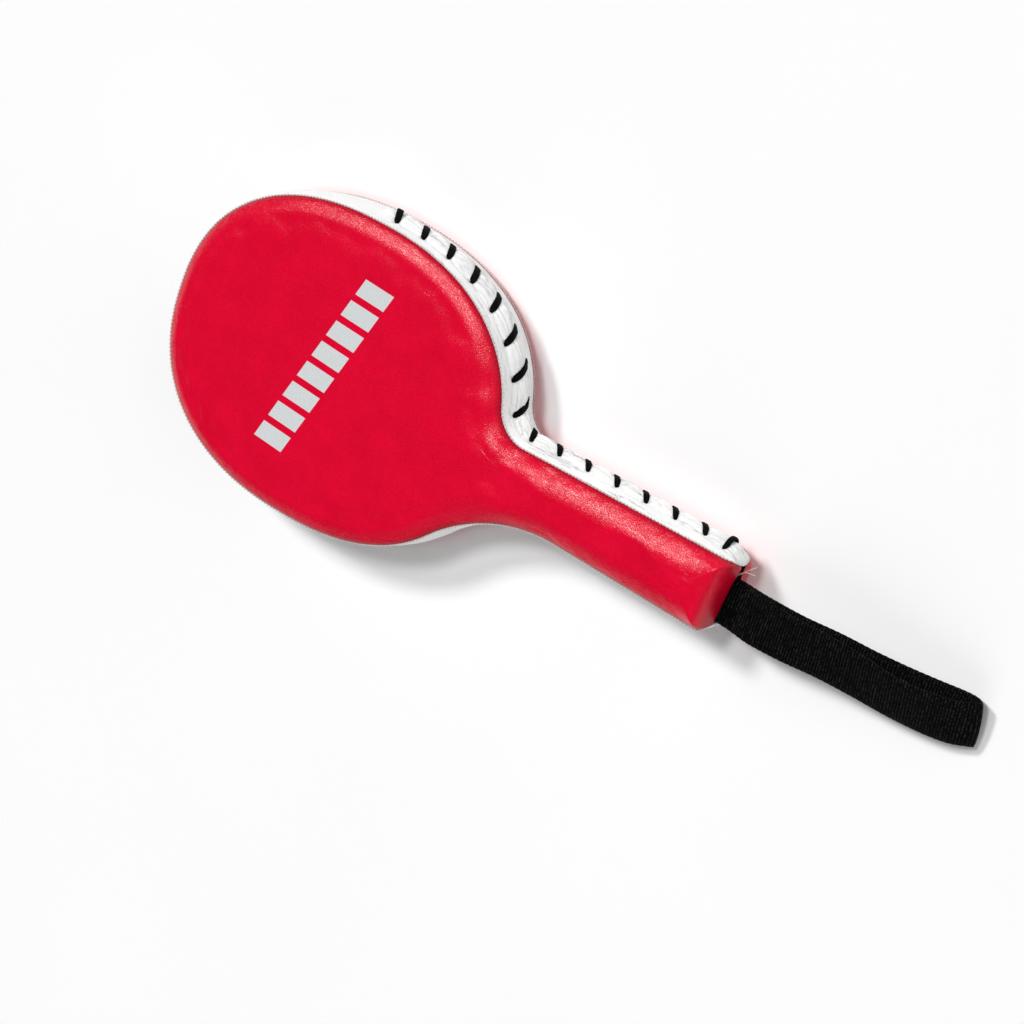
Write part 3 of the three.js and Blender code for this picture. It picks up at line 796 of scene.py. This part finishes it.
def layer(insets, heights_at):
    """Rings at each inset and the patch inside the last: points, faces and the inset of each point."""
    rings = []
    for inset in insets:
        ring, _ = outline(inset)
        rings.append(np.column_stack([ring, heights_at(ring[:, 0], inset)]))
    count = len(ring)
    filled, places = patch(ring)
    inside = places < 0
    middle = filled[inside]
    middle = np.column_stack([middle, heights_at(middle[:, 0], insets[-1])])
    numbers = places + (len(insets) - 1) * count
    numbers[inside] = len(insets) * count + np.arange(inside.sum())
    patch_faces = np.stack([numbers[:-1, :-1], numbers[1:, :-1], numbers[1:, 1:], numbers[:-1, 1:]], axis=-1)
    faces = np.vstack([ring_faces(len(insets), count), patch_faces.reshape(-1, 4)])
    depth = np.concatenate([np.repeat(insets, count), np.full(len(middle), insets[-1])])
    return np.vstack([*rings, middle]), faces, depth


def inner_height(x, inset):
    return np.maximum(face_height(x, inset) - LEATHER, INNER_CLEAR)


def cover_points():
    """The skin of one padded face over the middle plane: outside, turned-in edge and inside."""
    outside, outside_faces, depth = layer(SHOULDER_INSETS, face_height)
    inner, inner_faces, _ = layer(INNER_INSETS, inner_height)
    tucks = []
    for inset, drop in TUCK:
        ring, _ = outline(inset)
        tucks.append(np.column_stack([ring, np.maximum(seam_height(ring[:, 0]) + drop, TUCK_CLEAR)]))
    count = len(ring)
    first_inner = len(outside) + len(TUCK) * count
    chain = [0, *range(len(outside), first_inner + 1, count)]
    faces = outside_faces.tolist()
    for a, b in zip(chain, chain[1:]):
        for i in range(count):
            j = (i + 1) % count
            faces.append([a + j, a + i, b + i, b + j])
    faces += (inner_faces[:, ::-1] + first_inner).tolist()
    return np.vstack([outside, *tucks, inner]), faces, outside_faces, depth


def relax_as_cloth(points, faces, depth):
    """Blows the skin up a little against its sewn edge, and says how far that moves each point."""
    mesh = bpy.data.meshes.new("simulated")
    mesh.from_pydata((points * MM).tolist(), [], faces.tolist())
    cloth = add_object("simulated", mesh)
    held = cloth.vertex_groups.new(name="held")
    weights = 1 - smoothstep(depth, 0.5, 4.0)
    for index in np.nonzero(weights > 0)[0]:
        held.add([int(index)], float(weights[index]), "REPLACE")
    settings = cloth.modifiers.new("cloth", "CLOTH").settings
    for key, value in CLOTH.items():
        setattr(settings, key, value)
    settings.effector_weights.gravity = 0
    scene = bpy.context.scene
    scene.frame_start, scene.frame_end = 1, CLOTH_FRAMES
    for step in range(1, CLOTH_FRAMES + 1):
        scene.frame_set(step)
    evaluated = cloth.evaluated_get(bpy.context.evaluated_depsgraph_get())
    moved = np.empty(len(points) * 3)
    evaluated.data.vertices.foreach_get("co", moved)
    bpy.data.objects.remove(cloth)
    bpy.data.meshes.remove(mesh)
    scene.frame_set(1)
    return moved.reshape(-1, 3) / MM - points


def tension_creases(points, depth):
    """Shallow folds in the skin where it is pulled round the tight corner of the neck."""
    centre, _, _ = neck_fillet(LACED)
    away = points[:, :2] - centre
    reach = np.linalg.norm(away, axis=1) - LACED["fillet"]
    angle = np.arctan2(away[:, 1], away[:, 0])
    folds = np.sin(angle * 7 + rough_noise(points, (30, 30, 30), 3.1) * 2.5)
    return 0.7 * folds * bell(reach - 9, 9) * smoothstep(depth, 1, 5)


def end_pinch(points):
    """How far the covers are drawn together at the handle's end, on both sides of the strap."""
    x, y, z = points.T
    beside = smoothstep(np.abs(y - STRAP_Y), 14.8, 16.6) * (1 - smoothstep(np.abs(y), 20, 22))
    return (np.minimum(LIP_GAP, z) - INNER_CLEAR) * beside * (1 - smoothstep(z, 3, 9)) * near_end(x, 6)


def cover_uv(depth, total):
    """Lengths along the seam and distances in from it, for the outside points that start a cover."""
    ring = np.zeros(len(EDGE_LENGTHS) + 2 * END_STEPS - 1)
    ring[END_STEPS:END_STEPS + len(EDGE_LENGTHS)] = EDGE_LENGTHS
    along = np.tile(ring, len(SHOULDER_INSETS))
    uv = np.zeros((total, 2))
    uv[:len(along), 0] = along
    uv[:len(depth), 1] = depth
    return uv


def make_cover(side, print_mask):
    points, faces, outside_faces, depth = cover_points()
    outside = len(depth)
    skin = points[:outside]
    lift = -end_pinch(points)
    lift[:outside] += tension_creases(skin, depth)
    lift[:outside] += 0.22 * rough_noise(skin, (34, 26, 30), 5.3 * side) * smoothstep(depth, 2, SHOULDER)
    points[:, 2] += lift
    shift = relax_as_cloth(points[:outside], outside_faces, depth)
    points[:outside] += CLOTH_SHARE * np.clip(shift, *CLOTH_LIMITS)
    points[:, 2] = MIDDLE_Z + side * points[:, 2]
    points = slant_end(points)
    name = "front_leather" if side > 0 else "rear_leather"
    uv = cover_uv(depth, len(points))
    cover = new_mesh(name, points, faces, red_leather(f"{name}_red", print_mask), uv, flip=side > 0)
    subdivide(cover)
    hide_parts("front_cover" if side > 0 else "rear_cover")
    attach(cover, "paddle")


# ---------- Side band ----------

BAND_ROWS = 61
BAND_STEP = 0.7
PLAIN_COLUMNS = 330
INNER_ROWS = 5


def bulge_at(points, normals):
    laced = mix(LACED_HANDLE_BULGE, BAND_BULGE, head_share(points[..., 0]))
    return np.where(normals[..., 1] > 0, BAND_BULGE, laced) * mix(1, 0.25, near_end(points[..., 0], 12))


def lip_rise_at(points, normals):
    rise = mix(HANDLE_LIP_RISE, LIP_RISE, head_share(points[..., 0]))
    rise = rise * smoothstep(points[..., 0], HANDLE_END_X + 1, HANDLE_END_X + 10)
    return np.where(normals[..., 1] > 0, 0, rise)


def stitch_dents(down, z):
    """How deep the stitches pull the band in: under the lace, at the holes and in creases round them."""
    height = np.abs(z)
    side = np.where(z > 0, 1, -1)
    dent = np.zeros(np.broadcast(down, z).shape)
    stitches = zip(STITCH_MIDDLES, STITCH_SLANTS, STITCH_HOLES, STITCH_PULL, CREASE_ANGLES)
    for middle, slant, hole, pull, angles in stitches:
        across = down - middle - slant * np.clip(z / hole, -1, 1)
        dent += 0.45 * pull * bell(across, 2.6) * (1 - smoothstep(height, hole - 2.3, hole + 0.7))
        from_hole = down - middle - slant * side
        beyond = height - hole
        dent += 1.2 * pull * bell(np.hypot(from_hole, beyond), 1.8)
        for angle in angles:
            beside = from_hole * np.cos(angle) - beyond * np.sin(angle)
            along = from_hole * np.sin(angle) + beyond * np.cos(angle)
            dent += 0.26 * pull * bell(beside, 0.6) * smoothstep(along, 0.3, 2) * bell(along, 5)
    return dent


def hole_arcs(down, z, strength):
    """A fold that runs from hole to hole along each lip and bows out towards the seam between them."""
    fold = np.zeros(np.broadcast(down, z).shape)
    for side in (1, -1):
        holes = STITCH_MIDDLES + side * STITCH_SLANTS
        after = np.clip(np.searchsorted(holes, down), 1, STITCHES - 1)
        share = (down - holes[after - 1]) / (holes[after] - holes[after - 1])
        inside = (share > 0) & (share < 1) & (z * side > 0)
        bow = 4 * share * (1 - share)
        straight_line = mix(STITCH_HOLES[after - 1], STITCH_HOLES[after], share)
        beyond = np.abs(z) - (straight_line - 0.4 + 2.2 * GAP_FULLNESS[after] * bow)
        shape = 0.55 * bow * (1 - smoothstep(beyond, -2.5, 0.3)) - 0.5 * bell(beyond, 0.7)
        fold += np.where(inside, strength * shape * smoothstep(bow, 0, 0.25), 0)
    return fold


def band_surface(at, z, half, bulge, rise):
    """How far the band stands out, where its slit gapes, how deep it is where shut, and where it is laced."""
    down = FIRST_STITCH_AT - at
    full = np.minimum(1, half / SEAM_HANDLE)
    out = bulge * full * (1 - np.clip(z / half, -1, 1) ** 2)
    started = smoothstep(down, -SLIT_LEAD - 3, -SLIT_LEAD + 4)
    gap = np.clip(np.searchsorted(STITCH_MIDDLES, down), 0, STITCHES)
    nearest = np.abs(down[..., None] - STITCH_MIDDLES).min(-1)
    free = smoothstep(nearest, 1.5, 8)
    ridge = rise * bell(z, 6.2) * mix(0.72, 0.92 + 0.12 * GAP_FULLNESS[gap], free)
    out = out + ridge * started * full
    out -= stitch_dents(down, z) * started
    out += hole_arcs(down, z, rise / HANDLE_LIP_RISE) * started * full
    opening = GAP_OPEN[gap] * smoothstep(nearest, 2.5, STITCH_PITCH / 3)
    open_share = np.exp(-((z / (0.2 + 0.9 * opening)) ** 4)) * smoothstep(opening, 0.02, 0.3)
    running = smoothstep(down, -SLIT_LEAD, -SLIT_LEAD + 4)
    return out, open_share * running, 0.8 * bell(z, 0.3) * running, started


def band_columns():
    """Lengths along the edge, close together on the laced stretch and wider apart past it."""
    fine_end = FIRST_STITCH_AT + SLIT_LEAD + 8
    coarse = np.linspace(fine_end, EDGE_LENGTHS[-1], PLAIN_COLUMNS)
    return np.concatenate([np.arange(0, fine_end, BAND_STEP), coarse])


def band_unevenness(at, z, started):
    """Broad swells of the whole band and fine wrinkles by its lips."""
    spots = np.stack([at, np.zeros_like(z), z], axis=-1).reshape(-1, 3)
    folds = np.abs(rough_noise(spots, (13.0, 1.0, 1.7), 11.7).reshape(z.shape))
    broad = rough_noise(spots, (14.0, 1.0, 9.0), 4.2).reshape(z.shape)
    near_lips = bell(z, 7.5) * started
    return 0.22 * broad - 0.55 * bell(folds, 0.14) * near_lips


def stand_out(points, normals, out, z):
    """Points out from places on the edge, at heights over the middle plane."""
    surface = points[:, None, :] + normals[:, None, :] * out[..., None]
    return np.concatenate([surface, z[..., None]], axis=-1)


def band_points():
    """A closed loop of points across the band at each of its columns, and their UVs along and across it."""
    at = band_columns()
    points, normals = edge_at(at)
    half = (seam_height(points[:, 0]) - BAND_SEAT)[:, None]
    bulge = bulge_at(points, normals)[:, None]
    rise = lip_rise_at(points, normals)[:, None]
    share = signed_power(np.linspace(-1, 1, BAND_ROWS), 1.35)[None, :]
    z = share * half
    at_all = np.repeat(at[:, None], BAND_ROWS, 1)
    out, gaping, groove, started = band_surface(at_all, z, half, bulge, rise)
    out = out + band_unevenness(at_all, z, started) * (1 - share**6)
    out = mix(out - groove, SLIT_FLOOR, gaping)
    out = out - 0.7 * np.clip((np.abs(share) - 0.93) / 0.07, 0, 1) ** 2
    back = np.linspace(1, -1, INNER_ROWS)[None, :]
    swell = 0.9 * bulge * np.minimum(1, half / SEAM_HANDLE) * (1 - back**2)
    deep = np.where(np.abs(back) < 0.1, BAND_BACK, np.minimum(BAND_BACK + swell, BAND_BACK + 3))
    loops = np.concatenate([stand_out(points, normals, out, z),
                            stand_out(points, normals, deep, back * half * 0.985)], axis=1)
    return loops, as_uv(at[:, None], loops[..., 2])


def make_band():
    loops, uv = band_points()
    white = white_leather("band_white", FIRST_STITCH_AT)
    band = new_tube("side_band_leather", slant_end(loops + (0, 0, MIDDLE_Z)), white, uv)
    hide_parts("side_band")
    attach(band, "paddle")


# ---------- Lace ----------

LACE_SIDES = 16
LACE_SPAN = 7
LACE_BROAD = {"head": 4.5, "handle": 3.8}
LACE_INSIDE = BAND_BACK - 1.6


def lace_turn(k):
    """One turn of the lace: (down the edge, out, height, width, thickness), out being None on the band."""
    stitches = np.column_stack([STITCH_HOLES, STITCH_MIDDLES, STITCH_SLANTS])
    hole, middle, slant = stitches[k]
    next_hole, next_middle, next_slant = stitches[min(k + 1, STITCHES - 1)]
    broad = mix(LACE_BROAD["head"], LACE_BROAD["handle"], ON_HANDLE[k])
    widths = {0.85: broad - 0.3, 0.45: broad, 0: broad, -0.45: broad, -0.85: broad - 0.3}
    return [
        (middle + slant, LACE_INSIDE + 1.3, hole, 2.3, 2.0),
        (middle + slant, None, hole + 0.1, 2.8, 1.5),
        *[(middle + slant * share, None, hole * share, width, 1.4) for share, width in widths.items()],
        (middle - slant, None, -hole - 0.1, 2.8, 1.5),
        (middle - slant, LACE_INSIDE + 1.3, -hole, 2.3, 2.0),
        (middle - slant + 1, LACE_INSIDE, -hole * 0.7, 2.2, 2.2),
        ((middle + next_middle) / 2, LACE_INSIDE, 0, 2.2, 2.2),
        (next_middle + next_slant - 1, LACE_INSIDE, next_hole * 0.7, 2.2, 2.2),
    ]


def lace_stations():
    """Every turn of the lace, from its tucked-in start to its tucked-in end."""
    stations = [(1, LACE_INSIDE, HEAD_STITCH["hole"] * 0.7, 2.2, 2.2)]
    for k in STITCH_NUMBERS:
        stations += lace_turn(k)
    return stations[:-3]


def lace_spots(stations):
    """Each station's place, width, thickness and direction along the edge, as one row of eight numbers."""
    down = np.array([s[0] for s in stations])
    z = np.array([s[2] for s in stations], float)
    at = FIRST_STITCH_AT - down
    points, normals = edge_at(at)
    half = seam_height(points[:, 0]) - BAND_SEAT
    bulge = bulge_at(points, normals)
    out, *_ = band_surface(at, z, half, bulge, lip_rise_at(points, normals))
    laid = np.array([s[1] is None for s in stations])
    given = np.array([0 if s[1] is None else s[1] for s in stations], float) + bulge - BAND_BULGE
    loose = bell(down - STITCH_MIDDLES[0], 6) + bell(down - STITCH_MIDDLES[-1], 6)
    arched = 1 - np.minimum(1, np.abs(z) / LAST_STITCH["hole"]) ** 2
    depth = np.where(laid, out + 0.6 + 1.8 * loose * arched, given)
    spots = points + normals * depth[:, None]
    sizes = np.array([s[3:] for s in stations], float)
    along = np.column_stack([normals[:, 1], -normals[:, 0], np.zeros(len(z))])
    return np.column_stack([spots, z + MIDDLE_Z, sizes, along])


def make_lace():
    line = catmull_rom(lace_spots(lace_stations()), LACE_SPAN)
    centre, width, thick, along = line[:, :3], line[:, 3] / 2, line[:, 4] / 2, line[:, 5:8]
    forward = unit(np.gradient(centre, axis=0))
    across = unit(along - forward * (along * forward).sum(1, keepdims=True))
    up = np.cross(across, forward)
    angles = np.arange(LACE_SIDES) * 2 * math.pi / LACE_SIDES
    flat = signed_power(np.cos(angles), 0.75)
    lift = signed_power(np.sin(angles), 0.9)
    rings = (centre[:, None] + across[:, None] * (flat[None, :, None] * width[:, None, None])
             + up[:, None] * (lift[None, :, None] * thick[:, None, None]))
    uv = as_uv(lengths_along(centre)[:, None], flat * width[:, None])
    black = woven("lace_black", grey(0.0012), grey(0.009), 1.3, 0.0002, slanted=True)
    lace = new_tube("side_lace", slant_end(rings), black, uv)
    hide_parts("lace")
    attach(lace, "paddle")


# ---------- Seam stitching and loose thread ----------

THREAD_SIDES = 6
THREAD_RADIUS = 0.45
STITCH_SHARES = np.array([0, 0.12, 0.35, 0.65, 0.88, 1])
STITCH_SIZES = np.array([0.45, 0.85, 1, 1, 0.85, 0.45])
STITCH_SAG = 0.35
STITCH_SLIP = 0.12
LOOSE_RADIUS = 0.22


def thread_rings(line, across, up, radius):
    """Rings of a round thread, from two directions across its line and its radius at each point."""
    angles = np.arange(THREAD_SIDES) * 2 * math.pi / THREAD_SIDES
    wheel = np.cos(angles)[:, None] * across[:, None] + np.sin(angles)[:, None] * up[:, None]
    return line[:, None] + wheel * radius[:, None, None]


def one_stitch(start, end, up, radius):
    """Rings of a short thread that dips into the leather at both ends."""
    line = mix(start[None], end[None], STITCH_SHARES[:, None])
    line = line - np.outer((2 * STITCH_SHARES - 1) ** 4, up * STITCH_SAG)
    across = np.cross(unit(end - start), up)
    return thread_rings(line, across[None], up[None], STITCH_SIZES * radius)


def new_threads(name, threads, run, around, material):
    """One object of many threads; run and around are the UV steps along a thread and round it."""
    faces, uv = [], []
    for rings in threads:
        first = len(uv) * THREAD_SIDES
        faces += [[n + first for n in face] for face in tube_faces(len(rings), THREAD_SIDES)]
        uv += [as_uv(step * run, np.arange(THREAD_SIDES) * around) for step in range(len(rings))]
    points = slant_end(np.concatenate(threads).reshape(-1, 3))
    return new_mesh(name, points, faces, material, np.vstack(uv))


def seam_spots(at, slip, side):
    """Places on one seam at these lengths, and the way out of the leather there."""
    plan, normals = edge_at(at)
    height = seam_height(plan[:, 0]) - BAND_SEAT + slip
    outward = np.column_stack([normals, np.full(len(at), 0.6 * side)])
    return np.column_stack([plan + normals * 0.5, height * side + MIDDLE_Z]), unit(outward)


def make_seam(side, white):
    """Every stitch of one seam, from one corner of the handle's end round to the other."""
    at = np.arange(SEAM_START, EDGE_LENGTHS[-1] - SEAM_START, SEAM_PITCH)
    starts, outward = seam_spots(at, STITCH_SLIP, side)
    ends, _ = seam_spots(at + SEAM_STITCH, -STITCH_SLIP, side)
    stitches = [one_stitch(start, end, up, THREAD_RADIUS * random.uniform(0.9, 1.1))
                for start, end, up in zip(starts, ends, outward)]
    name = "front_seam_stitches" if side > 0 else "rear_seam_stitches"
    seam = new_threads(name, stitches, SEAM_STITCH / (len(STITCH_SHARES) - 1), 0.35, white)
    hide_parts("front_seam_thread" if side > 0 else "rear_seam_thread")
    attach(seam, "paddle")


def make_thread_ends(white):
    """Loose ends of sewing thread at the two corners of the handle's end."""
    laced = np.array([HANDLE_END_X + 0.6, -(LACED["end"] - 9), MIDDLE_Z + 1.2])
    plain = np.array([HANDLE_END_X + 0.6, PLAIN["end"] - 2.5, MIDDLE_Z - 0.6])
    ends = [
        (laced, (-5, -3.5, 1.6), (-10.5, -4.0, 0.6)),
        (laced + (0, 1.2, -0.6), (-4, -5, 0.2), (-8, -9.5, -1.2)),
        (plain, (-2.2, 2.4, 0.8), (-4.2, 3.4, -0.8)),
    ]
    threads = []
    for root, bend, tip in ends:
        line = catmull_rom([root + (2.5, 0, 0), root, root + bend, root + tip], 6)
        forward = unit(np.gradient(line, axis=0))
        across = unit(np.cross(forward, (0, 0, 1.0)))
        radius = np.full(len(line), LOOSE_RADIUS)
        threads.append(thread_rings(line, across, np.cross(across, forward), radius))
    tails = new_threads("loose_thread_ends", threads, 0.5, 0.3, white)
    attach(tails, "paddle")


# ---------- Wrist strap ----------

STRAP_ROWS = 11
STRAP_STEP = 0.34

# How the webbing folds at the loop's tip: the fold's reach, how much narrower it gets, and how far its plain
# side and its middle stand out
TIP_REACH = 7
TIP_NARROWING = 1.1
TIP_SKEW = 1.9
TIP_ROUND = 1.3


def strap_line():
    """The webbing's middle line with its roll, from one tail in the handle round the loop to the other."""
    apart = WEBBING / 2 + 0.15
    top = [(TAIL_IN_X - back, STRAP_Y, MIDDLE_Z + apart, 0) for back in (0, 15)]
    low = [(TAIL_IN_X - back, STRAP_Y, MIDDLE_Z - apart, 0) for back in (15, 0)]
    return evenly(catmull_rom([*top, *LOOP_ROUTE, *low], 24), STRAP_STEP)


def strap_rings():
    """Loops of points round the webbing, each over one face and back over the other, and their UVs."""
    line, lengths = strap_line()
    middle, roll = line[:, :3], np.radians(line[:, 3])
    across = np.column_stack([np.zeros(len(roll)), np.cos(roll), -np.sin(roll)])
    up = unit(np.cross(across, unit(np.gradient(middle, axis=0))))
    fold = bell(lengths - lengths[np.argmin(middle[:, 0])], TIP_REACH)
    selvage = 0.22 * np.abs(np.sin(lengths * math.pi / (2 * RIB_PITCH))) - 0.1
    half_width = WEBBING_WIDTH / 2 + selvage - TIP_NARROWING * fold
    thick = WEBBING / 2 - 0.14 + 0.16 * np.abs(np.sin(lengths * math.pi / RIB_PITCH))
    share = np.linspace(-1, 1, STRAP_ROWS)
    edge = 1 - 0.45 * np.abs(share) ** 8
    loops = []
    for face, order in ((1, share), (-1, share[::-1])):
        sideways = across[:, None, :] * (half_width[:, None] * order)[..., None]
        lift = up[:, None, :] * (face * thick[:, None] * edge)[..., None]
        loops.append(middle[:, None, :] + sideways + lift)
    rings = np.concatenate(loops, axis=1)
    beside = (rings[..., 1] - middle[:, 1:2]) / (WEBBING_WIDTH / 2)
    rings[..., 0] -= fold[:, None] * (TIP_SKEW * (1 + beside) + TIP_ROUND * (1 - beside**2))
    crosswise = np.concatenate([share, share[::-1]]) * WEBBING_WIDTH / 2
    return rings, as_uv(lengths[:, None], crosswise)


def make_strap():
    rings, uv = strap_rings()
    black = woven("webbing_black", grey(0.0002), grey(0.03), RIB_PITCH, 0.0003, slanted=False)
    strap = new_tube("strap_webbing", rings, black, uv)
    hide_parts("wrist_strap", "front_strap_tail", "rear_strap_tail")
    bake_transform(strap)


# ---------- What stays inside ----------

def dress_hidden_nodes():
    firm = foam("firm_foam", (0.018, 0.018, 0.02, 1), (0.05, 0.05, 0.055, 1), 0.0009)
    soft = foam("soft_foam", (0.5, 0.45, 0.3, 1), (0.75, 0.7, 0.55, 1), 0.0014)
    finishes = {
        "core_board": two_tone("core_plywood", wood_rings, (0.36, 0.2, 0.09, 1), (0.6, 0.4, 0.2, 1),
                               (0.35, 0.65), (0.3, 0.7, 0.75, 0.6), 0.0002),
        "lace_placket": two_tone("placket_cloth", plain_weave, grey(0.42), (0.66, 0.66, 0.65, 1),
                                 (0, 1), (0, 1, 0.9, 0.75), 0.0002),
        **{f"{face}_{node}": firm for face in ("front", "rear") for node in ("firm_foam", "grip_foam")},
        **{f"{face}_soft_foam": soft for face in ("front", "rear")},
    }
    for node, material in finishes.items():
        mesh = frame["nodes"][node].data
        mesh.materials.clear()
        mesh.materials.append(material)


make_camera()
make_studio()
make_cover(1, print_bars)
make_cover(-1, print_target)
make_band()
make_lace()
seam_white = two_tone("seam_thread", twist, THREAD_SHADE, THREAD_WHITE, (0, 1), (0, 1, 0.75, 0.6), 0.00008)
make_seam(1, seam_white)
make_seam(-1, seam_white)
make_thread_ends(seam_white)
make_strap()
dress_hidden_nodes()
